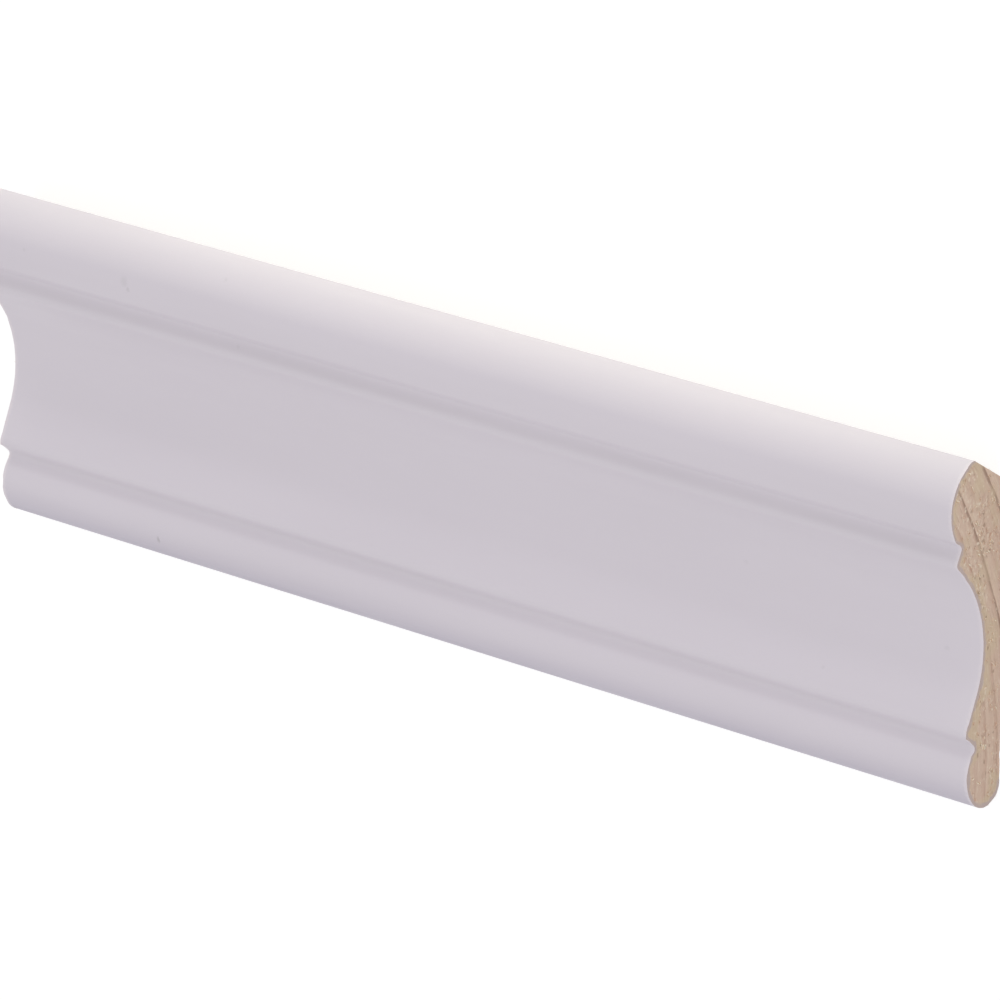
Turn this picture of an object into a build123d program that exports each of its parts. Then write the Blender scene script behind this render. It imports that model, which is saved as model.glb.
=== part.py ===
from build123d import *
import os
from math import cos, radians, sin, sqrt, tan

# A length of sprung timber cornice moulding, lying on its flat back.
# X runs along the length, +Y points to the ceiling edge and +Z is the moulded face.
# All sizes are in millimetres and degrees.

# Overall size
LENGTH = 265.0
FACE_WIDTH = 70.0
THICKNESS = 15.0

# Ceiling edge: a sharp upper edge, and a bevel from it down to the back
UPPER_EDGE_DEPTH = 6.3
CEILING_SEAT_ANGLE = 57.4

# Upper bead, measured from the ceiling edge
UPPER_BEAD_CREST = 9.7
UPPER_BEAD_END = 15.2

# Quirk under the upper bead and the sloping fillet below it, measured from the ceiling edge and the face
QUIRK_ROOT = 16.3
QUIRK_DEPTH = 3.4
FILLET_NOSE = 20.0
FILLET_NOSE_DEPTH = 1.6

# Cove, with a straight ramp that leaves it towards the lower arris
COVE_DEPTH = 9.8
RAMP_ANGLE = 22.0

# Lower arris, measured from the wall edge and the face, and the ledge that falls from it
LOWER_ARRIS = 15.6
LOWER_ARRIS_DEPTH = 5.0
LEDGE_ANGLE = 46.0

# Lower bead and the rounded foot that meets the wall
LOWER_BEAD_DEPTH = 5.6
LOWER_BEAD_RADIUS = 8.0
FOOT_RADIUS = 4.3
FOOT_SHARE_OF_BEAD = 0.48

# Edges eased by sanding, and corners filled by paint
BEAD_END_EASE = 0.9
QUIRK_FILL = 0.9
NOSE_EASE = 1.2
ARRIS_EASE = 1.5
LEDGE_FILL = 1.2


def from_ceiling(distance, height):
    """A section point at a distance from the ceiling edge and a height above the back."""
    return Vector(FACE_WIDTH / 2 - distance, height)


def from_wall(distance, height):
    """A section point at a distance from the wall edge and a height above the back."""
    return Vector(distance - FACE_WIDTH / 2, height)


def circle_rise(radius, offset):
    """How far above its centre a circle stands at an offset to the side."""
    return sqrt(radius**2 - offset**2)


def ceiling_seat(edge_height):
    """The bevel that lies against the ceiling, from the back up to the upper edge."""
    run = edge_height / tan(radians(CEILING_SEAT_ANGLE))
    return Line(from_ceiling(run, 0), from_ceiling(0, edge_height))


def upper_bead(edge_height):
    """One arc from the upper edge, level at the crest, that stops at the quirk."""
    radius = (UPPER_BEAD_CREST**2 + UPPER_EDGE_DEPTH**2) / (2 * UPPER_EDGE_DEPTH)
    past_crest = UPPER_BEAD_END - UPPER_BEAD_CREST
    end_height = THICKNESS - radius + circle_rise(radius, past_crest)
    return ThreePointArc(
        from_ceiling(0, edge_height),
        from_ceiling(UPPER_BEAD_CREST, THICKNESS),
        from_ceiling(UPPER_BEAD_END, end_height),
    )


def cove_and_ramp(nose, arris):
    """The cove from the nose, touching its floor line, and the ramp tangent to it up to the arris."""
    floor_height = THICKNESS - COVE_DEPTH
    fall = nose.Y - floor_height
    rise = arris.Y - floor_height
    # The ramp, carried on downwards, meets the floor line at this distance from the nose
    reach = (nose.X - arris.X) - rise / tan(radians(RAMP_ANGLE))
    # The circle through the nose that touches both the floor line and the ramp
    half_turn = tan(radians(RAMP_ANGLE / 2))
    middle = half_turn * reach + fall
    radius = (middle - sqrt(middle**2 - half_turn**2 * (reach**2 + fall**2))) / half_turn**2
    lowest = nose.X - reach + radius * half_turn
    ramp_start = Vector(
        lowest - radius * sin(radians(RAMP_ANGLE)),
        floor_height + radius * (1 - cos(radians(RAMP_ANGLE))),
    )
    return ThreePointArc(nose, Vector(lowest, floor_height), ramp_start), Line(ramp_start, arris)


def ledge_and_foot(arris):
    """The ledge below the arris, the lower bead, and the rounded foot that runs into the back."""
    crest_height = THICKNESS - LOWER_BEAD_DEPTH
    # The foot is never fuller than the bead that it rounds off
    foot_radius = min(FOOT_RADIUS, FOOT_SHARE_OF_BEAD * crest_height)
    foot_centre = from_wall(foot_radius, foot_radius)
    # The foot's circle touches the bead's circle from inside
    between_centres = LOWER_BEAD_RADIUS - foot_radius
    bead_height = crest_height - LOWER_BEAD_RADIUS
    bead_centre = Vector(
        foot_centre.X + circle_rise(between_centres, foot_centre.Y - bead_height),
        bead_height,
    )
    outward = (foot_centre - bead_centre).normalized()
    bead_end = bead_centre + outward * LOWER_BEAD_RADIUS
    # The ledge runs down from the arris until it meets the bead's circle
    downhill = Vector(-cos(radians(LEDGE_ANGLE)), -sin(radians(LEDGE_ANGLE)))
    to_centre = bead_centre - arris
    along = to_centre.dot(downhill)
    aside = (to_centre - downhill * along).length
    ledge_root = arris + downhill * (along - circle_rise(LOWER_BEAD_RADIUS, aside))
    back_end = from_wall(foot_radius, 0)
    return (
        Line(arris, ledge_root),
        ThreePointArc(ledge_root, Vector(bead_centre.X, crest_height), bead_end),
        ThreePointArc(bead_end, from_wall(0, foot_radius), back_end),
    )


def section():
    """The closed section of the moulding, with its arrises eased and its corners filled."""
    edge_height = THICKNESS - UPPER_EDGE_DEPTH
    seat = ceiling_seat(edge_height)
    bead = upper_bead(edge_height)
    quirk = from_ceiling(QUIRK_ROOT, THICKNESS - QUIRK_DEPTH)
    nose = from_ceiling(FILLET_NOSE, THICKNESS - FILLET_NOSE_DEPTH)
    arris = from_wall(LOWER_ARRIS, THICKNESS - LOWER_ARRIS_DEPTH)
    bead_return = Line(bead @ 1, quirk)
    fillet_slope = Line(quirk, nose)
    cove, ramp = cove_and_ramp(nose, arris)
    ledge, lower_bead, foot = ledge_and_foot(arris)
    back = Line(foot @ 1, seat @ 0)
    outline = Curve() + [seat, bead, bead_return, fillet_slope, cove, ramp, ledge, lower_bead, foot, back]
    face = make_face(outline)
    eased = [
        (bead @ 1, BEAD_END_EASE),
        (quirk, QUIRK_FILL),
        (nose, NOSE_EASE),
        (arris, ARRIS_EASE),
        (ledge @ 1, LEDGE_FILL),
    ]
    for corner, radius in eased:
        face = fillet(face.vertices().sort_by_distance(corner)[0], radius)
    return face


moulding = extrude(Plane.YZ * section(), LENGTH / 2, both=True)
moulding.label = "cornice_moulding"

os.makedirs("parts", exist_ok=True)
export_step(moulding, "parts/cornice_moulding.step")
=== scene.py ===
import random
from math import atan2, ceil, cos, pi, radians, sin

import bmesh
import bpy
import numpy as np
from mathutils import Matrix, Vector, kdtree, noise


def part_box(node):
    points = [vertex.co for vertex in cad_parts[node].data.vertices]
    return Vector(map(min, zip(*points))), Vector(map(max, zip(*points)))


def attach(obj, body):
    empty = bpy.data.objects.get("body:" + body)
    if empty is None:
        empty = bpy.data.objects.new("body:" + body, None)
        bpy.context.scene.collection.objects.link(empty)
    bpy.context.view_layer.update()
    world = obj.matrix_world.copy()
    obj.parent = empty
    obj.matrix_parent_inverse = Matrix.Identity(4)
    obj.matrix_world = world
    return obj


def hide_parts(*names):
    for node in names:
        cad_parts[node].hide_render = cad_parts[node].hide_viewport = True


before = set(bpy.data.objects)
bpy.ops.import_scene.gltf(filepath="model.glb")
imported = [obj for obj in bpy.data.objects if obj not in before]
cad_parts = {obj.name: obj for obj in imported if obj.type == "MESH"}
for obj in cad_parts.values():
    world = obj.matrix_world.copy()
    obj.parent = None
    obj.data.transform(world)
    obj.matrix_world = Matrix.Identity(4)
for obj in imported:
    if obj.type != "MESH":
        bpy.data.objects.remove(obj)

# A length of painted pine cornice, bare at the back and the sawn ends, lying on a white studio floor.
# Lengths are in metres. X runs along the moulding, +Y points to its ceiling edge and +Z is its face.
NODE = "cornice_moulding"
MM = 0.001
SEED = 17

# Kinds of surface, in the order of the body's materials
KINDS = ("face", "back", "end")

# Camera, from the photograph's perspective
CAMERA_AIM = Vector((1.61, -4.12, 0.31)) * MM
CAMERA_DISTANCE = 1.883
CAMERA_TURN = radians(43.78)
CAMERA_RISE = radians(18.01)
CAMERA_LENS = 342.7
CAMERA_SENSOR = 36.0

# Mesh density: round the section, across the sawn ends and along the length
DENSE_STEP = 0.02 * MM
FEWEST_ARC_STEPS = 24
FACE_STEP = 0.34 * MM
TURN_STEP = radians(7.0)
END_ROWS = 60
BACK_STRIDE = 5
LENGTH_STEP = 4.0 * MM
END_STATIONS = (0.7 * MM, 1.5 * MM, 3.0 * MM)
WELD = 0.002 * MM
SHARP_ANGLE = radians(25)

# Paint rounds the arrises and fills the corners, between these places along Y, but is crisp at a cut.
# The softness is the spread of a smoothing along the section, by distance from the cut.
PAINT_FILL_Y = (-27.0 * MM, 24.0 * MM)
PAINT_FILL = 0.65 * MM
PAINT_FILL_FADE = 2.0 * MM
PAINT_FILL_START = (0.0, 1.5 * MM)

# Growth rings are circles about a pith line that lies outside the board, in front of its face.
# Each ring has the radius, in millimetres, at which its summer wood ends, how dark that is, and how dark
# the spring wood is that follows.
PITH_Y = -27.0 * MM
PITH_Z = 106.0 * MM
RINGS = (
    (94.3, 0.45, 0.10), (97.0, 0.55, 0.10), (99.8, 0.45, 0.12), (102.5, 0.60, 0.05), (105.6, 0.65, 0.08),
    (109.3, 1.0, 0.0), (112.1, 0.50, 0.14), (114.5, 0.45, 0.22), (116.95, 1.0, 0.0), (119.8, 0.5, 0.0),
)
SPRING_RISE = 0.1
RING_RANGE = (91.0, 122.0)
RING_WANDER = 1.2
SUMMER_WIDTH = 1.3
SUMMER_EDGE = 0.16

# Places where the saw tore the near end: Y, Z and reach, in millimetres.
# On the far end they are moved about.
TEARS = (
    (29.7, 12.2, 2.6), (31.1, 9.9, 2.0), (25.0, 9.8, 2.4), (25.6, 5.5, 2.2), (22.1, 7.4, 2.2),
    (19.3, 5.1, 2.6), (17.5, 3.3, 2.0), (15.8, 10.1, 1.8), (13.1, 7.8, 2.4), (8.7, 6.8, 2.0),
    (5.5, 5.9, 1.6), (-13.2, 5.2, 2.2), (-20.2, 5.3, 1.6), (-22.4, 4.6, 1.8), (-28.5, 2.6, 1.6),
)
FAR_TEAR_SHIFT = (6.0, 2.0)
TEAR_EVERYWHERE = 0.48

# Places where paint runs over the edge of a cut: Y, Z and reach, in millimetres, and how far it runs
SMEARS = ((15.2, 12.9, 2.0), (6.5, 7.6, 1.8), (-9.2, 5.6, 2.6), (-28.5, 8.9, 1.8))
SMEAR_RUN = 0.45

# Relief of the sawn ends. A pit's reach and the wander of a row are in millimetres, and rates of noise
# are per millimetre along Y and Z.
END_RECESS = 0.02 * MM
RING_RELIEF = 0.03 * MM
GRAIN_RELIEF = 0.18 * MM
COARSE_TEAR = 0.9
COARSE_RATES = (0.9, 1.7)
FINE_TEAR = 0.7
FINE_RATES = (2.1, 3.3)
SAW_RELIEF = 0.03 * MM
SAW_RATES = (0.9, 0.05)
PIT_COUNT = 26
PIT_DEPTH = 0.28 * MM
PIT_REACH_Y = (0.15, 0.5)
PIT_REACH_Z = (0.12, 0.28)
PIT_STRENGTH = (0.4, 1.0)
PIT_TEAR = 1.2
PIT_ROW_HEIGHT = 5.3 * MM
PIT_ROW_Y = (17.0 * MM, 27.5 * MM)
PIT_ROW_COUNT = 10
PIT_ROW_WANDER = (0.3, 0.25)
RIM_REACH = 0.35 * MM
RIM_CHIP = 0.20 * MM
CHIP_RATES = (0.45, 0.45)
CHIP_LIMIT = 0.1
CHIP_SHARE = 1.6
RAGGED_RATES = (2.1, 2.1)
RAGGED_SHARE = 0.25
RIM_FLATTENING = 0.7

# Burr that the saw raised on the lower arris, at the very end
BURR_Y = -19.9 * MM
BURR_HEIGHT = 0.45 * MM
BURR_REACH = 0.45 * MM

# Torn fibres on each cut and along its rim. Ranges of their sizes, and the inset from the rim, are in
# millimetres, curl and bend are shares of the length, and the spread is in radians.
CUT_FIBRES = 160
CUT_FIBRE_LENGTH = (0.45, 1.15)
CUT_FIBRE_WIDTH = (0.08, 0.2)
CUT_FIBRE_LIFT = (0.06, 0.2)
CUT_FIBRE_SPREAD = 0.45
CUT_FIBRE_CURL = 0.25
RIM_FIBRES = 110
RIM_FIBRE_LENGTH = (0.15, 0.55)
RIM_FIBRE_WIDTH = (0.02, 0.045)
RIM_FIBRE_STAND = (0.4, 1.0)
RIM_FIBRE_SWEEP = (0.4, 0.8, 0.5)
RIM_FIBRE_BEND = 0.25
RIM_FIBRE_ROOT = 0.12 * MM
RIM_FIBRE_SINK = 0.06 * MM
RIM_SHARES = {"back": 3.0, "face": 0.6}
FIBRE_INSET = 0.9
FIBRE_CLEARANCE = 0.03 * MM

# Colours, as linear red, green and blue
PAINT = (0.785, 0.742, 0.795)
# Darker paint for the scuffs, and painted shade in the two recesses
PAINT_SCUFF_AND_SHADE = (0.42, 0.40, 0.41)
# Painted highlight along the sawn rims of the paint
PAINT_RIM_HIGHLIGHT = (0.89, 0.83, 0.86)
# Painted shade for the underside of the foot
PAINT_FOOT_SHADE = (0.42, 0.39, 0.50)
FILM = (0.63, 0.525, 0.50)
END_EARLY = (0.84, 0.65, 0.515)
END_SPRING = (0.785, 0.595, 0.47)
END_ROSE = (0.735, 0.535, 0.42)
END_SUMMER = (0.43, 0.29, 0.22)
END_PALE = (0.94, 0.81, 0.65)
END_WARM = (0.76, 0.615, 0.435)
# Dark streaks of the grain, and painted shade in the pits and hollows of the cut
END_DARK_AND_PIT_SHADE = (0.40, 0.28, 0.20)
FIBRE_PALE = (0.95, 0.85, 0.69)
LONG_SPRING = (0.70, 0.54, 0.38)
LONG_SUMMER = (0.48, 0.31, 0.18)
LONG_PALE = (0.79, 0.66, 0.50)
FLOOR = (0.75, 0.75, 0.75)
WHITE = (1.0, 1.0, 1.0)

# Finish of each surface: its range of roughness, the height of its bump, and its specular level.
# The back's roughness goes from bare wood to paint.
PAINT_ROUGHNESS = (0.42, 0.54)
PAINT_BUMP = 0.012 * MM
PAINT_GLOSS = 0.25
END_ROUGHNESS = (0.72, 0.88)
END_BUMP = 0.05 * MM
END_GLOSS = 0.25
FIBRE_ROUGHNESS = (0.7, 0.82)
FIBRE_BUMP = 0.01 * MM
FIBRE_GLOSS = 0.3
BACK_ROUGHNESS = (0.68, 0.46)
BACK_BUMP = 0.03 * MM
BACK_GLOSS = 0.35

# Shares of orange peel and planer lines in the paint's height
PEEL_SHARE = 0.6
LINES_SHARE = 0.4

# Tints of the paint, and painted shade towards the underside of the foot: the way it grows, its range in
# millimetres along that way, and strength
PAINT_TINTS = (0.97, 1.025)
FOOT_SHADE_WAY = (0.0, -0.8, -0.6)
FOOT_SHADE_RANGE = (15.5, 26.2)
FOOT_SHADE_MOST = 0.55

# Painted highlight: a pale line in the paint along the sawn rims, its frayed distance from the end in
# millimetres, and strength
RIM_HIGHLIGHT = (1.7, 0.7)
RIM_HIGHLIGHT_MOST = 0.6

# Edge of the paint film on a cut: how ragged, its ragged distance from the rim in millimetres, and strength
FILM_FRAY = 1.6
FILM_EDGE = (1.75, 1.15)
FILM_MOST = 0.9

# Paint on the back, in millimetres: over the foot along Y, over the ceiling edge along Z, drops along Y
BACK_FOOT = (-29.2, -30.4)
BACK_LIP = (7.5, 8.3)
BACK_DROPS = (-18.0, -30.0)
BACK_FRAY = 3.0

# Small scuffs in the paint: place along X and Y and reach along each, in millimetres, and strength
MARKS = (
    (-89.6, 25.2, 1.1, 1.4, 0.13), (-88.6, 23.7, 0.6, 0.7, 0.20), (-61.9, 31.0, 0.6, 0.5, 0.11),
    (-118.9, 25.9, 0.5, 0.5, 0.12), (-86.5, -30.4, 0.5, 0.9, 0.50), (123.4, -5.0, 0.9, 0.6, 0.10),
    (94.7, -14.9, 0.5, 0.5, 0.10), (-59.6, 17.2, 0.6, 0.5, 0.12), (72.1, 0.4, 0.8, 0.6, 0.07),
)

# Painted shade in the quirk and below the lower arris: Y, Z and reach, in millimetres, and strength
RECESS_SHADE = ((16.7, 12.6, 2.6, 0.15), (-21.8, 7.9, 2.8, 0.07))

# Light: an even surround, a strip lamp low over the floor beyond the ceiling edge, and a weak lamp
# further off and higher
AMBIENT = (0.748, 0.737, 0.750)
KEY_COLOUR = (1.0, 0.995, 0.79)
KEY_POWER = 0.075
KEY_SIZE = (0.36, 0.004)
KEY_PLACE = (0.0, 0.127, 0.0025)
UPPER_POWER = 4.0
UPPER_SIZE = (3.0, 0.3)
UPPER_PLACE = (0.0, 2.6, 0.62)

# Floor
FLOOR_SIZE = 12.0
FLOOR_DROP = 0.05 * MM
FLOOR_SHADE = (0.26, 0.26, 0.26)
FLOOR_LIFT = 0.845


# Section of the moulding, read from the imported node
def face_strips(mesh):
    """Section points along each CAD face at the near end: two for a flat face, more for a round one."""
    solid = bmesh.new()
    solid.from_mesh(mesh)
    near_end = max(vertex.co.x for vertex in solid.verts) - WELD
    around = {}
    for edge in solid.edges:
        at_end = all(vertex.co.x > near_end for vertex in edge.verts)
        beside_face = len(edge.link_faces) == 1 and abs(edge.link_faces[0].normal.x) < 0.5
        if at_end and beside_face:
            one, two = edge.verts
            around.setdefault(one, []).append(two)
            around.setdefault(two, []).append(one)
    strips = []
    for start in (vertex for vertex, others in around.items() if len(others) == 1):
        path = [start]
        ahead = around[start]
        while ahead:
            path.append(ahead[0])
            ahead = [vertex for vertex in around[path[-1]] if vertex is not path[-2]]
        if path[0].index < path[-1].index:
            strips.append(np.array([(vertex.co.y, vertex.co.z) for vertex in path]))
    solid.free()
    return strips


def dense_strip(strip):
    """Closely spaced points along a strip: on its line, or on the circle through three of its points."""
    first, middle, last = strip[0], strip[len(strip) // 2], strip[-1]
    if len(strip) == 2:
        count = ceil(np.linalg.norm(last - first) / DENSE_STEP)
        return first + np.linspace(0, 1, count + 1)[:, None] * (last - first)
    chords = 2 * np.array([middle - first, last - first])
    squares = [middle @ middle - first @ first, last @ last - first @ first]
    centre = np.linalg.solve(chords, squares)
    arms = strip - centre
    turns = np.unwrap(np.arctan2(arms[:, 1], arms[:, 0]))
    radius = np.linalg.norm(arms[0])
    count = max(ceil(abs(turns[-1] - turns[0]) * radius / DENSE_STEP), FEWEST_ARC_STEPS)
    angles = np.linspace(turns[0], turns[-1], count + 1)
    return centre + radius * np.stack([np.cos(angles), np.sin(angles)], axis=1)


def section_chains(mesh):
    """The face and the back of the section, each from the ceiling edge to the tip of the foot."""
    strips = [dense_strip(strip) for strip in face_strips(mesh)]
    loop = strips.pop(0)
    while strips:
        end = loop[-1]
        gaps = [np.linalg.norm(strip[[0, -1]] - end, axis=1) for strip in strips]
        nearest = int(np.argmin([gap.min() for gap in gaps]))
        strip = strips.pop(nearest)
        forward = gaps[nearest][0] < gaps[nearest][1]
        loop = np.vstack([loop, (strip if forward else strip[::-1])[1:]])
    loop = np.roll(loop[:-1], -int(np.argmax(loop[:-1, 0])), axis=0)
    tip = int(np.argmin(loop[:, 0]))
    one = loop[:tip + 1]
    two = np.vstack([loop[:1], loop[:tip - 1:-1]])
    return (one, two) if one[:, 1].max() > two[:, 1].max() else (two, one)


def face_stations(chain, keep):
    """Indices along the chain, closer together where it turns, with the one nearest to each kept Y."""
    step = np.diff(chain, axis=0)
    heading = np.unwrap(np.arctan2(step[:, 1], step[:, 0]))
    turn = np.abs(np.diff(heading, prepend=heading[0]))
    effort = np.cumsum(np.linalg.norm(step, axis=1) / FACE_STEP + turn / TURN_STEP)
    effort = np.concatenate([[0], effort])
    marks = np.linspace(0, effort[-1], ceil(effort[-1]) + 1)
    picks = set(np.searchsorted(effort, marks).clip(0, len(chain) - 1).tolist())
    picks |= {int(np.argmin(np.abs(chain[:, 0] - y))) for y in keep}
    return sorted(picks)


def paint_filled(chain):
    """The face as paint rounds it: each point moved to the mean of those round it along the section."""
    reach = ceil(3 * PAINT_FILL / DENSE_STEP)
    weights = np.exp(-0.5 * (np.arange(-reach, reach + 1) * DENSE_STEP / PAINT_FILL) ** 2)
    weights /= weights.sum()
    padded = np.pad(chain, ((reach, reach), (0, 0)), mode="edge")
    soft = np.stack([np.convolve(axis, weights, mode="valid") for axis in padded.T], axis=1)
    low, high = PAINT_FILL_Y
    rise = np.interp(chain[:, 0], (low, low + PAINT_FILL_FADE, high - PAINT_FILL_FADE, high), (0, 1, 1, 0))
    return chain + rise[:, None] * (soft - chain)


def length_stations(half):
    """Places along the length between the two sawn ends, closer together beside them."""
    inner = half - END_STATIONS[-1]
    middle = np.linspace(-inner, inner, ceil(2 * inner / LENGTH_STEP) + 1)
    beside = half - np.array(END_STATIONS[:-1])
    return np.concatenate([-beside, middle, beside[::-1]])


# Sawn ends
def ring_stops():
    """Radius in millimetres and darkness at each turn of the ring profile. Each ring ends abruptly."""
    stops = []
    spring = 0.0
    for radius, summer, next_spring in RINGS:
        stops.append((radius - SUMMER_WIDTH, spring + SPRING_RISE))
        stops.append((radius - SUMMER_EDGE, summer))
        stops.append((radius, next_spring))
        spring = next_spring
    return stops


def grain_noise(points, rates, seed):
    """Smooth noise from -1 to 1 at section points, at a rate per millimetre along Y and Z."""
    return np.array([noise.noise(Vector((y * rates[0], z * rates[1], seed))) for y, z in points / MM])


def tears(side):
    """The torn places of one end, in millimetres."""
    if side > 0:
        return TEARS
    draw = random.Random(SEED)
    shift_y, shift_z = FAR_TEAR_SHIFT
    return [
        (y + draw.uniform(-shift_y, shift_y), z + draw.uniform(-shift_z, shift_z), reach)
        for y, z, reach in TEARS
    ]


def nearness(points, spots):
    """How near each point is to the nearest of some spots, from 0 far off to 1 at its middle."""
    y, z = points.T / MM
    share = np.zeros(len(points))
    for spot_y, spot_z, reach in spots:
        share = np.maximum(share, np.exp(-((y - spot_y) ** 2 + (z - spot_z) ** 2) / reach**2))
    return share


def tear_share(points, side):
    """How torn the grain of an end is at each point, from 0 to 1."""
    return TEAR_EVERYWHERE + (1 - TEAR_EVERYWHERE) * nearness(points, tears(side))


def pits(draw, points):
    """Centre, reach along Y and Z and strength of each torn-out pit on a cut."""
    places = [points[draw.randrange(len(points))] for _ in range(PIT_COUNT)]
    wander_y, wander_z = PIT_ROW_WANDER
    for i in range(PIT_ROW_COUNT):
        y = np.interp(i, (0, PIT_ROW_COUNT - 1), PIT_ROW_Y) + draw.uniform(-wander_y, wander_y) * MM
        places.append((y, PIT_ROW_HEIGHT + draw.uniform(-wander_z, wander_z) * MM))
    for y, z in places:
        reach_y = draw.uniform(*PIT_REACH_Y) * MM
        reach_z = draw.uniform(*PIT_REACH_Z) * MM
        yield y, z, reach_y, reach_z, draw.uniform(*PIT_STRENGTH)


def end_relief(points, side, draw, seed):
    """Depth of each point of a cut, and how torn it is: negative in a pit, positive on loose fibre."""
    y, z = points[:, 0], points[:, 1]
    radius = np.hypot(y - PITH_Y, z - PITH_Z) / MM
    summer = np.interp(radius, *zip(*ring_stops()))
    torn = COARSE_TEAR * grain_noise(points, COARSE_RATES, seed)
    torn += FINE_TEAR * grain_noise(points, FINE_RATES, seed + 3)
    torn *= tear_share(points, side)
    saw = grain_noise(points, SAW_RATES, seed + 7)
    depth = END_RECESS + RING_RELIEF * (1 - summer) + GRAIN_RELIEF * (0.5 - 0.5 * torn).clip(0, 1)
    depth += SAW_RELIEF * (0.5 + 0.5 * saw)
    for pit_y, pit_z, reach_y, reach_z, strength in pits(draw, points):
        dip = strength * np.exp(-((y - pit_y) / reach_y) ** 2 - ((z - pit_z) / reach_z) ** 2)
        depth += PIT_DEPTH * dip
        torn -= PIT_TEAR * dip
    return depth, torn


def rim_chips(points, seed):
    """How far the sawn edge is broken back at each point, were it on the rim."""
    broken = (grain_noise(points, CHIP_RATES, seed + 11) - CHIP_LIMIT).clip(0, 1)
    ragged = grain_noise(points, RAGGED_RATES, seed + 13).clip(0, 1)
    return RIM_CHIP * (CHIP_SHARE * broken + RAGGED_SHARE * ragged).clip(0, 1)


def distances(points, line):
    """Distance in millimetres from each point to the nearest of a line's points."""
    tree = kdtree.KDTree(len(line))
    for i, (y, z) in enumerate(line):
        tree.insert((y, z, 0), i)
    tree.balance()
    return np.array([tree.find((y, z, 0))[2] for y, z in points]) / MM


class Shell:
    """The closed surface of the moulding, built up from its two sawn ends and the rings between them."""

    def __init__(self, half, face, back):
        flat = back[back[:, 1] < WELD, 0]
        order = np.argsort(back[:, 0])
        corners = [flat.max(), flat.min()]
        self.half = half
        stations = face_stations(face, corners)
        self.y, self.top = face[stations].T
        self.fill_y, self.fill_top = (paint_filled(face) - face)[stations].T
        self.back = np.minimum(np.interp(self.y, back[order, 0], back[order, 1]), self.top)
        self.painted = np.vstack([face, back[back[:, 0] < flat.min()]])
        self.last = len(self.y) - 1
        kept = {int(np.argmin(np.abs(self.y - corner))) for corner in corners}
        foot = np.flatnonzero(self.y < flat.min()).tolist()
        self.back_picks = sorted(set(range(0, self.last, BACK_STRIDE)) | kept | set(foot) | {self.last})
        self.points, self.torn, self.film = [], [], []
        self.faces, self.kinds = [], []

    def point(self, x, y, z, torn=0.0, film=0.0):
        """Adds a vertex and gives its index."""
        self.points.append((x, y, z))
        self.torn.append(torn)
        self.film.append(film)
        return len(self.points) - 1

    def polygon(self, corners, kind):
        """Adds a face, without the corners that repeat where the section closes to a point."""
        kept = [corner for i, corner in enumerate(corners) if corner != corners[i - 1]]
        if len(kept) > 2:
            self.faces.append(kept)
            self.kinds.append(kind)

    def end(self, side, seed):
        """A grid over one sawn end, with its relief. Gives its rim along the face and along the back."""
        share = np.linspace(0, 1, END_ROWS + 1)
        burr = BURR_HEIGHT * np.exp(-np.abs(self.y - BURR_Y) / BURR_REACH)
        thick = (self.top + burr - self.back)[:, None]
        z = self.back[:, None] + share * thick
        y = np.broadcast_to(self.y[:, None], z.shape)
        flat = np.stack([y.ravel(), z.ravel()], axis=1)
        depth, torn = end_relief(flat, side, random.Random(seed), seed)
        rim = np.exp(-(np.minimum(share, 1 - share) * thick).ravel() / RIM_REACH)
        depth = depth * (1 - RIM_FLATTENING * rim) + rim_chips(flat, seed) * rim
        film = distances(flat, self.painted) - SMEAR_RUN * nearness(flat, SMEARS)
        x = side * (self.half - depth)
        index = np.array([self.point(*row) for row in zip(x, flat[:, 0], flat[:, 1], torn, film)])
        index = index.reshape(z.shape)
        index[0] = index[0, 0]
        index[-1] = index[-1, 0]
        for i in range(self.last):
            for j in range(END_ROWS):
                self.polygon([index[i, j], index[i + 1, j], index[i + 1, j + 1], index[i, j + 1]], "end")
        return list(index[:, -1]), dict(enumerate(index[:, 0]))

    def ring(self, x):
        """The section's points at one place along the length: the face's, and the back's by station."""
        fill = np.interp(self.half - abs(x), PAINT_FILL_START, (0, 1))
        rounded = zip(self.y + fill * self.fill_y, self.top + fill * self.fill_top)
        top = [self.point(x, y, z) for y, z in rounded]
        back = {i: self.point(x, self.y[i], self.back[i]) for i in self.back_picks[1:-1]}
        back[0], back[self.last] = top[0], top[-1]
        return top, back

    def join(self, one, two):
        """Adds the faces between two neighbouring rings."""
        for i in range(self.last):
            self.polygon([one[0][i], two[0][i], two[0][i + 1], one[0][i + 1]], "face")
        for low, high in zip(self.back_picks, self.back_picks[1:]):
            there = [one[1][i] for i in range(low, high + 1) if i in one[1]]
            back_again = [two[1][i] for i in range(high, low - 1, -1) if i in two[1]]
            self.polygon(there + back_again, "back")


def build_body():
    """The moulding as one closed mesh, with one material each for its face, its back and its sawn ends."""
    low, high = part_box(NODE)
    half = (high.x - low.x) / 2
    shell = Shell(half, *section_chains(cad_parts[NODE].data))
    rings = [shell.end(-1, SEED)]
    rings += [shell.ring(x) for x in length_stations(half)]
    rings.append(shell.end(1, SEED + 1))
    for one, two in zip(rings, rings[1:]):
        shell.join(one, two)
    mesh = bpy.data.meshes.new("moulding_body")
    mesh.from_pydata(shell.points, [], shell.faces)
    mesh.polygons.foreach_set("material_index", [KINDS.index(kind) for kind in shell.kinds])
    for name, values in (("torn", shell.torn), ("film", shell.film)):
        layer = mesh.attributes.new(name, "FLOAT", "POINT")
        layer.data.foreach_set("value", np.array(values, np.float32))
    for material in (paint_material(half), back_material(), end_material()):
        mesh.materials.append(material)
    shade(mesh)
    return add_object("moulding_body", mesh)


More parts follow.
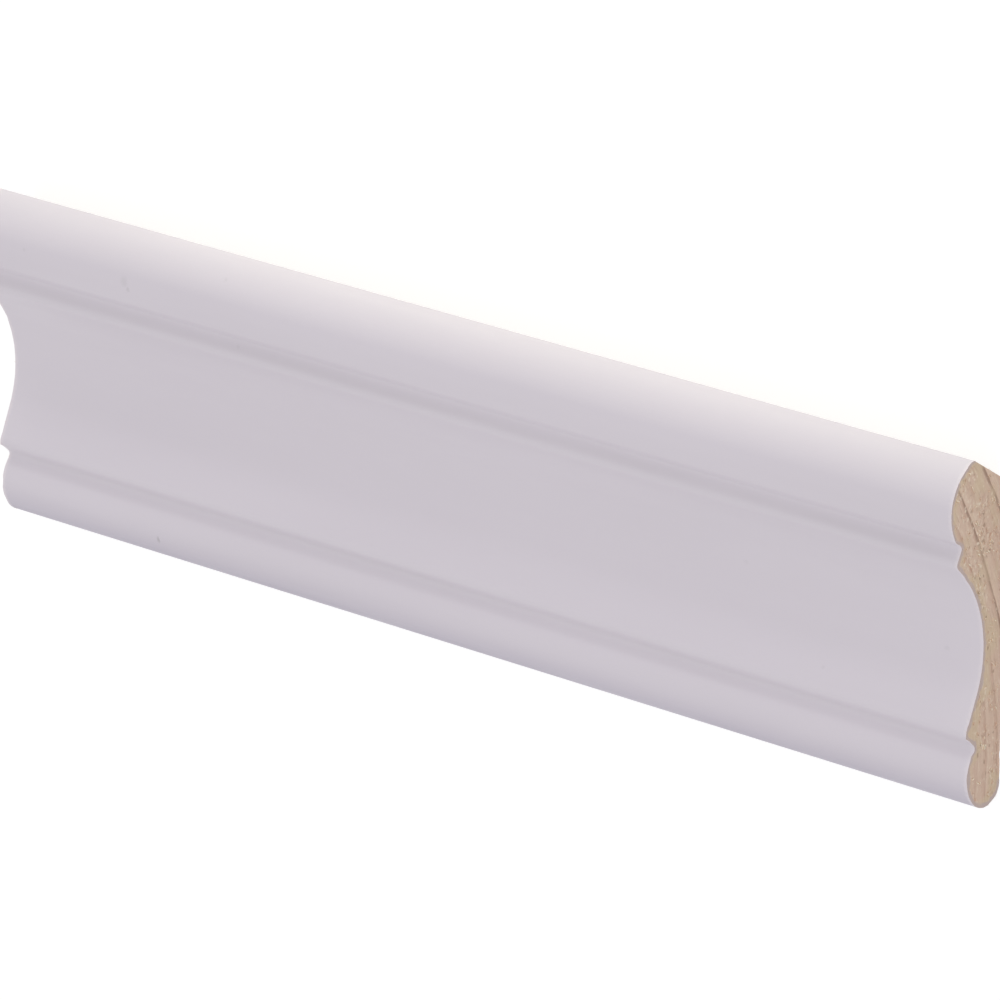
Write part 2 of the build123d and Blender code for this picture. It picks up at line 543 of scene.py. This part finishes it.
def shade(mesh):
    """Drops loose points, turns faces outwards, and keeps the rims and the section's corners sharp."""
    work = bmesh.new()
    work.from_mesh(mesh)
    bmesh.ops.delete(work, geom=[vertex for vertex in work.verts if not vertex.link_faces], context="VERTS")
    bmesh.ops.recalc_face_normals(work, faces=work.faces)
    for face in work.faces:
        face.smooth = True
    cut = KINDS.index("end")
    for edge in work.edges:
        on_cut = all(face.material_index == cut for face in edge.link_faces)
        edge.smooth = on_cut or edge.calc_face_angle(0) < SHARP_ANGLE
    work.to_mesh(mesh)
    work.free()


def add_object(name, data):
    """A new object in the scene."""
    thing = bpy.data.objects.new(name, data)
    bpy.context.scene.collection.objects.link(thing)
    return thing


# Torn fibres
def sliver(points, faces, path, width):
    """Adds a closed three-sided sliver along a path, pointed at both of its ends."""
    start = len(points)
    points.append(path[0])
    for before, here, after in zip(path, path[1:], path[2:]):
        along = (after - before).normalized()
        side = along.orthogonal().normalized()
        other = along.cross(side)
        for turn in (0, 2 * pi / 3, 4 * pi / 3):
            points.append(here + (side * cos(turn) + other * sin(turn)) * width)
    points.append(path[-1])
    tip = len(points) - 1
    bands = len(path) - 2
    for i in range(3):
        j = (i + 1) % 3
        faces.append((start, start + 1 + j, start + 1 + i))
        for band in range(bands - 1):
            low = start + 1 + 3 * band
            faces.append((low + i, low + j, low + 3 + j, low + 3 + i))
        last = start + 1 + 3 * (bands - 1)
        faces.append((last + i, last + j, tip))


def cut_fibre(draw, place, side):
    """Path and width of a loose fibre on the cut, mostly along a ring and bowed a little out of the cut."""
    length = draw.uniform(*CUT_FIBRE_LENGTH) * MM
    lean = atan2(place.y - PITH_Y, PITH_Z - place.z) + draw.gauss(0, CUT_FIBRE_SPREAD)
    along = Vector((0, cos(lean), sin(lean)))
    across = Vector((0, -sin(lean), cos(lean)))
    curl = draw.uniform(-CUT_FIBRE_CURL, CUT_FIBRE_CURL) * length
    lift = draw.uniform(*CUT_FIBRE_LIFT) * MM
    path = []
    for share in (0.0, 0.25, 0.5, 0.75, 1.0):
        bow = 4 * share * (1 - share)
        raised = Vector((side * lift * bow, 0, 0))
        path.append(place + along * length * (share - 0.5) + across * curl * bow + raised)
    return path, draw.uniform(*CUT_FIBRE_WIDTH) * MM


def rim_fibre(draw, place, outward, side):
    """Path and width of a short whisker that stands out of the rim."""
    length = draw.uniform(*RIM_FIBRE_LENGTH) * MM
    most_x, most_y, most_z = RIM_FIBRE_SWEEP
    sweep_x = side * draw.uniform(0.0, most_x)
    sweep_y = draw.uniform(-most_y, most_y)
    sweep_z = draw.uniform(-most_z, most_z)
    sweep = Vector((sweep_x, sweep_y, sweep_z))
    aim = (outward * draw.uniform(*RIM_FIBRE_STAND) + sweep).normalized()
    bend = Vector((0, draw.uniform(-1, 1), draw.uniform(-1, 1))) * RIM_FIBRE_BEND * length
    root = place - outward * RIM_FIBRE_ROOT - Vector((side * RIM_FIBRE_SINK, 0, 0))
    width = draw.uniform(*RIM_FIBRE_WIDTH) * MM
    path = [root + aim * length * share + bend * share * share for share in (0.0, 0.2, 0.6, 1.0)]
    for point in path:
        point.z = max(point.z, FIBRE_CLEARANCE + width)
    return path, width


def cuts_and_rims(mesh):
    """By end, the faces of its cut, and the middle of each edge of its rim with the face beside it."""
    cut = KINDS.index("end")
    cuts = {-1: [], 1: []}
    beside = {}
    for polygon in mesh.polygons:
        if polygon.material_index == cut:
            cuts[1 if polygon.center.x > 0 else -1].append(polygon)
        for key in polygon.edge_keys:
            beside.setdefault(key, []).append(polygon)
    rims = {-1: [], 1: []}
    for (one, two), around in beside.items():
        others = [polygon for polygon in around if polygon.material_index != cut]
        if len(others) == 1:
            middle = (mesh.vertices[one].co + mesh.vertices[two].co) / 2
            rims[1 if middle.x > 0 else -1].append((middle, others[0]))
    return cuts, rims


def build_fibres(body):
    """Loose fibres on both cuts, and whiskers on their rims, mostly at the back where the saw came out."""
    cuts, rims = cuts_and_rims(body.data)
    points, faces = [], []
    draw = random.Random(SEED)
    for side in (-1, 1):
        centres = np.array([polygon.center.yz for polygon in cuts[side]])
        areas = np.array([polygon.area for polygon in cuts[side]])
        inside = distances(centres, [middle.yz for middle, _ in rims[side]]) > FIBRE_INSET
        weights = (areas * inside * tear_share(centres, side) ** 2).tolist()
        for polygon in draw.choices(cuts[side], weights=weights, k=CUT_FIBRES):
            sliver(points, faces, *cut_fibre(draw, polygon.center, side))
        weights = [RIM_SHARES[KINDS[other.material_index]] for _, other in rims[side]]
        for middle, other in draw.choices(rims[side], weights=weights, k=RIM_FIBRES):
            sliver(points, faces, *rim_fibre(draw, middle, other.normal, side))
    fibres = bpy.data.meshes.new("torn_fibres")
    fibres.from_pydata(points, [], faces)
    fibres.materials.append(fibre_material())
    return add_object("torn_fibres", fibres)


# Materials
class Nodes:
    """A node tree, with short ways to add nodes to it."""

    MIX_SHARE, MIX_ONE, MIX_TWO, MIX_RESULT = 0, 6, 7, 2

    def __init__(self, tree):
        self.tree = tree
        self.tree.nodes.clear()
        self.place = None

    def add(self, kind, inputs=None, **settings):
        """Adds a node with its settings, and sets or links its inputs by name or number."""
        node = self.tree.nodes.new(kind)
        for name, value in settings.items():
            setattr(node, name, value)
        for name, value in (inputs or {}).items():
            socket = node.inputs[name]
            if isinstance(value, bpy.types.NodeSocket):
                self.tree.links.new(value, socket)
            elif socket.type == "RGBA":
                socket.default_value = (*value, 1.0)
            else:
                socket.default_value = value
        return node

    def math(self, operation, *values):
        """The result of a calculation with numbers or sockets."""
        return self.add("ShaderNodeMath", dict(enumerate(values)), operation=operation).outputs[0]

    def vector(self, operation, *values):
        """The outputs of a calculation with vectors: the vector first, then the number."""
        return self.add("ShaderNodeVectorMath", dict(enumerate(values)), operation=operation).outputs

    def millimetres(self):
        """The place on the object, in millimetres."""
        if self.place is None:
            metres = self.add("ShaderNodeTexCoord").outputs["Object"]
            self.place = self.vector("MULTIPLY", metres, (1 / MM,) * 3)[0]
        return self.place

    def axes(self):
        """The place along X, Y and Z, in millimetres."""
        return self.add("ShaderNodeSeparateXYZ", {0: self.millimetres()}).outputs

    def noise(self, rates, detail=2.0, roughness=0.5, place=None):
        """Noise from 0 to 1 at a rate per millimetre along each axis of the object or of another place."""
        spread = self.vector("MULTIPLY", place or self.millimetres(), rates)[0]
        inputs = {"Vector": spread, "Scale": 1.0, "Detail": detail, "Roughness": roughness}
        return self.add("ShaderNodeTexNoise", inputs).outputs["Fac"]

    def attribute(self, name):
        """A number that the mesh carries at each point."""
        return self.add("ShaderNodeAttribute", attribute_name=name).outputs["Fac"]

    def ramp(self, value, start, end, low=0.0, high=1.0):
        """A smooth step from low to high while the value goes from start to end."""
        inputs = {"Value": value, "From Min": start, "From Max": end, "To Min": low, "To Max": high}
        return self.add("ShaderNodeMapRange", inputs, interpolation_type="SMOOTHSTEP").outputs["Result"]

    def mix(self, share, one, two):
        """One colour, with a share of another in it."""
        inputs = {self.MIX_SHARE: share, self.MIX_ONE: one, self.MIX_TWO: two}
        return self.add("ShaderNodeMix", inputs, data_type="RGBA").outputs[self.MIX_RESULT]

    def bump(self, height, distance):
        """The normal of a surface raised by a height of 0 to 1 times the distance."""
        return self.add("ShaderNodeBump", {"Height": height, "Distance": distance}).outputs["Normal"]

    def seen_directly(self):
        """One for a ray from the camera and for one that a shiny or clear surface sends on."""
        path = self.add("ShaderNodeLightPath").outputs
        passed_on = self.math("MAXIMUM", path["Is Glossy Ray"], path["Is Transmission Ray"])
        return self.math("MAXIMUM", path["Is Camera Ray"], passed_on)


def new_material(name):
    """An empty material and its nodes."""
    material = bpy.data.materials.new(name)
    material.use_nodes = True
    return material, Nodes(material.node_tree)


def finish_material(nodes, colour, roughness, normal, specular):
    """Joins the layers to a shader and the shader to the output."""
    inputs = {
        "Base Color": colour,
        "Roughness": roughness,
        "Normal": normal,
        "Specular IOR Level": specular,
    }
    shader = nodes.add("ShaderNodeBsdfPrincipled", inputs)
    nodes.add("ShaderNodeOutputMaterial", {"Surface": shader.outputs[0]})


def scaled(colour, factor):
    """A colour made lighter or darker."""
    return tuple(factor * channel for channel in colour)


def paint_layers(nodes):
    """Colour, roughness and height of satin paint, with slow tints, painted shade towards the foot, orange
    peel and planer lines.
    """
    tint = nodes.noise((0.012, 0.06, 0.06), detail=3)
    darker, lighter = PAINT_TINTS
    colour = nodes.mix(tint, scaled(PAINT, darker), scaled(PAINT, lighter))
    # Painted shade: the paint is darkened towards the underside of the foot, where the light falls off
    towards_foot = nodes.vector("DOT_PRODUCT", nodes.millimetres(), FOOT_SHADE_WAY)[1]
    patchy = nodes.noise((0.03, 0.3, 0.3), detail=3)
    lowness = nodes.math("ADD", towards_foot, patchy)
    colour = nodes.mix(nodes.ramp(lowness, *FOOT_SHADE_RANGE, 0.0, FOOT_SHADE_MOST), colour, PAINT_FOOT_SHADE)
    roughness = nodes.ramp(nodes.noise((0.05, 0.4, 0.4), detail=4), 0.3, 0.7, *PAINT_ROUGHNESS)
    peel = nodes.noise((1.1, 1.1, 1.1), detail=2)
    lines = nodes.noise((0.02, 2.4, 2.4), detail=2)
    peel_height = nodes.math("MULTIPLY", peel, PEEL_SHARE)
    height = nodes.math("ADD", peel_height, nodes.math("MULTIPLY", lines, LINES_SHARE))
    return colour, roughness, height


def scuffs(nodes):
    """Strength of the small scuffs in the paint, with broken edges."""
    fray = nodes.noise((2.5, 2.5, 2.5), detail=3)
    total = 0.0
    for x, y, reach_x, reach_y, strength in MARKS:
        offset = nodes.vector("SUBTRACT", nodes.millimetres(), (x, y, 0))[0]
        shrunk = nodes.vector("MULTIPLY", offset, (1 / reach_x, 1 / reach_y, 0))[0]
        away = nodes.math("ADD", nodes.vector("LENGTH", shrunk)[1], fray)
        total = nodes.math("MAXIMUM", total, nodes.ramp(away, 1.7, 0.7, 0.0, strength))
    return total


def recess_shade(nodes):
    """Strength of the painted shade along the two recesses, which is uneven along the length."""
    uneven = nodes.ramp(nodes.noise((0.03, 0.2, 0.2), detail=3), 0.3, 0.6, 0.75, 1.0)
    total = 0.0
    for y, z, reach, strength in RECESS_SHADE:
        offset = nodes.vector("SUBTRACT", nodes.millimetres(), (0, y, z))[0]
        away = nodes.vector("LENGTH", nodes.vector("MULTIPLY", offset, (0, 1, 1))[0])[1]
        total = nodes.math("ADD", total, nodes.ramp(away, reach, 0.0, 0.0, strength))
    return nodes.math("MULTIPLY", total, uneven)


def ring_place(nodes):
    """Distance from the pith and place along Y, in millimetres. The rings wander along the length."""
    axes = nodes.axes()
    wander = nodes.math("SUBTRACT", nodes.noise((0.004, 0.09, 0.09), detail=2), 0.5)
    y = nodes.math("SUBTRACT", axes[1], PITH_Y / MM)
    z = nodes.math("SUBTRACT", axes[2], PITH_Z / MM)
    squares = nodes.math("ADD", nodes.math("MULTIPLY", y, y), nodes.math("MULTIPLY", z, z))
    radius = nodes.math("SQRT", squares)
    radius = nodes.math("ADD", radius, nodes.math("MULTIPLY", wander, RING_WANDER))
    return nodes.add("ShaderNodeCombineXYZ", {0: radius, 1: axes[1]}).outputs[0]


def summer_share(nodes, place):
    """Share of summer wood at each ring place."""
    radius = nodes.add("ShaderNodeSeparateXYZ", {0: place}).outputs[0]
    low, high = RING_RANGE
    share = nodes.math("DIVIDE", nodes.math("SUBTRACT", radius, low), high - low)
    ramp = nodes.add("ShaderNodeValToRGB", {"Fac": share})
    stops = ramp.color_ramp.elements
    stops.remove(stops[0])
    stops[0].position = 0.0
    stops[0].color = (0, 0, 0, 1)
    for turn, dark in ring_stops():
        stops.new((turn - low) / (high - low)).color = (dark, dark, dark, 1)
    return ramp.outputs["Color"]


def paint_material(half):
    """The painted face, with its scuffs, painted shade in its two recesses and a painted highlight along
    the sawn rims.
    """
    material, nodes = new_material("satin_paint")
    colour, roughness, height = paint_layers(nodes)
    axes = nodes.axes()
    fray = nodes.noise((1.2, 1.2, 1.2), detail=3)
    from_end = nodes.math("SUBTRACT", half / MM, nodes.math("ABSOLUTE", axes[0]))
    # Painted highlight: a pale line along the sawn rims of the paint
    pale = nodes.ramp(nodes.math("ADD", from_end, fray), *RIM_HIGHLIGHT, 0.0, RIM_HIGHLIGHT_MOST)
    colour = nodes.mix(pale, colour, PAINT_RIM_HIGHLIGHT)
    # Painted shade in the two recesses, in the same darker colour as the scuffs
    colour = nodes.mix(recess_shade(nodes), colour, PAINT_SCUFF_AND_SHADE)
    colour = nodes.mix(scuffs(nodes), colour, PAINT_SCUFF_AND_SHADE)
    finish_material(nodes, colour, roughness, nodes.bump(height, PAINT_BUMP), PAINT_GLOSS)
    return material


def ring_colour(nodes, place):
    """Colour of the rings on a cut, from spring wood to summer wood, fainter here and there."""
    broken = nodes.ramp(nodes.noise((0.3, 0.35, 0.35), detail=3), 0.3, 0.55, 0.78, 1.0)
    summer = nodes.math("MULTIPLY", summer_share(nodes, place), broken)
    colour = nodes.mix(nodes.ramp(summer, 0.0, 0.15), END_EARLY, END_SPRING)
    colour = nodes.mix(nodes.ramp(summer, 0.15, 0.45), colour, END_ROSE)
    return nodes.mix(nodes.ramp(summer, 0.4, 0.9, 0.0, 0.95), colour, END_SUMMER)


def end_material():
    """Sawn end grain: rings, granular torn fibre, pits darkened with painted shade and the grey edge of the
    paint film.
    """
    material, nodes = new_material("sawn_end_grain")
    place = ring_place(nodes)
    colour = ring_colour(nodes, place)
    film_mm = nodes.attribute("film")
    by_paint = nodes.ramp(film_mm, 3.5, 0.8, 0.0, 0.2)
    patches = nodes.math("ADD", nodes.noise((0.1, 0.13, 0.2)), by_paint)
    colour = nodes.mix(nodes.ramp(patches, 0.5, 0.72, 0.0, 0.75), colour, END_WARM)
    streaks = nodes.noise((2.4, 0.22, 1.0), detail=3, roughness=0.6, place=place)
    colour = nodes.mix(nodes.ramp(streaks, 0.5, 0.75, 0.0, 0.45), colour, END_PALE)
    colour = nodes.mix(nodes.ramp(streaks, 0.45, 0.25, 0.0, 0.35), colour, END_DARK_AND_PIT_SHADE)
    torn = nodes.attribute("torn")
    colour = nodes.mix(nodes.ramp(torn, 0.12, 0.5, 0.0, 0.85), colour, END_PALE)
    # Painted shade: the colour darkens in the pits and hollows of the relief
    colour = nodes.mix(nodes.ramp(torn, -0.12, -0.7, 0.0, 0.55), colour, END_DARK_AND_PIT_SHADE)
    fray = nodes.noise((0.5, 0.55, 0.55), detail=4)
    ragged = nodes.math("ADD", film_mm, nodes.math("MULTIPLY", fray, FILM_FRAY))
    colour = nodes.mix(nodes.ramp(ragged, *FILM_EDGE, 0.0, FILM_MOST), colour, FILM)
    grains = nodes.noise((1.0, 1.8, 2.4), detail=4, roughness=0.6)
    roughness = nodes.ramp(torn, -0.5, 0.5, *END_ROUGHNESS)
    finish_material(nodes, colour, roughness, nodes.bump(grains, END_BUMP), END_GLOSS)
    return material


def fibre_material():
    """Loose pale fibres."""
    material, nodes = new_material("torn_fibre")
    shade_noise = nodes.noise((0.6, 0.6, 0.6), detail=2)
    colour = nodes.mix(nodes.ramp(shade_noise, 0.35, 0.65), END_SPRING, FIBRE_PALE)
    roughness = nodes.ramp(shade_noise, 0.35, 0.65, *FIBRE_ROUGHNESS)
    streak = nodes.noise((9.0, 9.0, 9.0), detail=2)
    finish_material(nodes, colour, roughness, nodes.bump(streak, FIBRE_BUMP), FIBRE_GLOSS)
    return material


def back_paint(nodes):
    """Share of paint on the back: ragged strips at the foot and the ceiling edge, and a few drops."""
    axes = nodes.axes()
    wander = nodes.math("SUBTRACT", nodes.noise((0.4, 0.4, 0.4), detail=4), 0.5)
    fray = nodes.math("MULTIPLY", wander, BACK_FRAY)
    foot = nodes.ramp(nodes.math("ADD", axes[1], fray), *BACK_FOOT)
    lip = nodes.ramp(nodes.math("ADD", axes[2], fray), *BACK_LIP)
    drops = nodes.ramp(nodes.noise((1.3, 1.3, 1.3), detail=1), 0.66, 0.71)
    near_foot = nodes.ramp(nodes.math("ADD", axes[1], fray), *BACK_DROPS)
    splashed = nodes.math("MULTIPLY", drops, near_foot)
    return nodes.math("MAXIMUM", nodes.math("MAXIMUM", foot, lip), splashed)


def back_material():
    """Planed bare pine, with the face's paint carried a little way over the foot and the ceiling edge."""
    material, nodes = new_material("planed_pine")
    fibre = nodes.noise((0.035, 2.6, 2.6), detail=5, roughness=0.6)
    colour = nodes.mix(summer_share(nodes, ring_place(nodes)), LONG_SPRING, LONG_SUMMER)
    colour = nodes.mix(nodes.ramp(fibre, 0.35, 0.7, 0.0, 0.5), colour, LONG_PALE)
    # The face's paint, with its painted shade towards the foot
    paint, _, _ = paint_layers(nodes)
    painted = back_paint(nodes)
    colour = nodes.mix(painted, colour, paint)
    roughness = nodes.ramp(painted, 0.0, 1.0, *BACK_ROUGHNESS)
    height = nodes.math("ADD", fibre, painted)
    finish_material(nodes, colour, roughness, nodes.bump(height, BACK_BUMP), BACK_GLOSS)
    return material


# Studio
def build_floor():
    """A floor that the camera sees as white, with the object's shadow, and that lights it as pale grey."""
    reach = FLOOR_SIZE / 2
    around = ((-reach, -reach), (reach, -reach), (reach, reach), (-reach, reach))
    corners = [(x, y, -FLOOR_DROP) for x, y in around]
    mesh = bpy.data.meshes.new("floor")
    mesh.from_pydata(corners, [], [(0, 1, 2, 3)])
    material, nodes = new_material("white_floor")
    pale = nodes.add("ShaderNodeBsdfDiffuse", {"Color": FLOOR})
    shaded = nodes.add("ShaderNodeBsdfDiffuse", {"Color": FLOOR_SHADE})
    lift = nodes.add("ShaderNodeEmission", {"Color": WHITE, "Strength": FLOOR_LIFT})
    white = nodes.add("ShaderNodeAddShader", {0: shaded.outputs[0], 1: lift.outputs[0]})
    layers = {0: nodes.seen_directly(), 1: pale.outputs[0], 2: white.outputs[0]}
    both = nodes.add("ShaderNodeMixShader", layers)
    nodes.add("ShaderNodeOutputMaterial", {"Surface": both.outputs[0]})
    mesh.materials.append(material)
    return add_object("floor", mesh)


def build_world():
    """Even light from all round, which the camera sees as white."""
    world = bpy.data.worlds.new("studio")
    world.use_nodes = True
    nodes = Nodes(world.node_tree)
    surround = nodes.add("ShaderNodeBackground", {"Color": AMBIENT})
    white = nodes.add("ShaderNodeBackground", {"Color": WHITE})
    layers = {0: nodes.seen_directly(), 1: surround.outputs[0], 2: white.outputs[0]}
    both = nodes.add("ShaderNodeMixShader", layers)
    nodes.add("ShaderNodeOutputWorld", {"Surface": both.outputs[0]})
    bpy.context.scene.world = world


def build_lamp(name, place, size, power, colour):
    """A rectangular lamp that faces the object."""
    lamp = bpy.data.lights.new(name, "AREA")
    lamp.shape = "RECTANGLE"
    lamp.size, lamp.size_y = size
    lamp.energy = power
    lamp.color = colour
    holder = add_object(name, lamp)
    holder.location = place
    holder.rotation_euler = (-Vector(place)).to_track_quat("-Z", "Y").to_euler()


def build_camera():
    """The photograph's view, from above the near end and a little towards the ceiling edge."""
    data = bpy.data.cameras.new("camera")
    data.sensor_width = CAMERA_SENSOR
    data.lens = CAMERA_LENS
    level = cos(CAMERA_RISE)
    toward = Vector((sin(CAMERA_TURN) * level, sin(CAMERA_RISE), cos(CAMERA_TURN) * level))
    right = Vector((cos(CAMERA_TURN), 0, -sin(CAMERA_TURN)))
    turned = Matrix((right, toward.cross(right), toward)).transposed().to_4x4()
    camera = add_object("camera", data)
    camera.matrix_world = Matrix.Translation(CAMERA_AIM + toward * CAMERA_DISTANCE) @ turned
    bpy.context.scene.camera = camera


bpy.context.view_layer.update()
body = build_body()
fibres = build_fibres(body)
for piece in (body, fibres):
    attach(piece, "root")
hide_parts(NODE)
build_floor()
build_world()
build_lamp("key", KEY_PLACE, KEY_SIZE, KEY_POWER, KEY_COLOUR)
build_lamp("upper", UPPER_PLACE, UPPER_SIZE, UPPER_POWER, WHITE)
build_camera()
bpy.context.scene.view_settings.view_transform = "Standard"
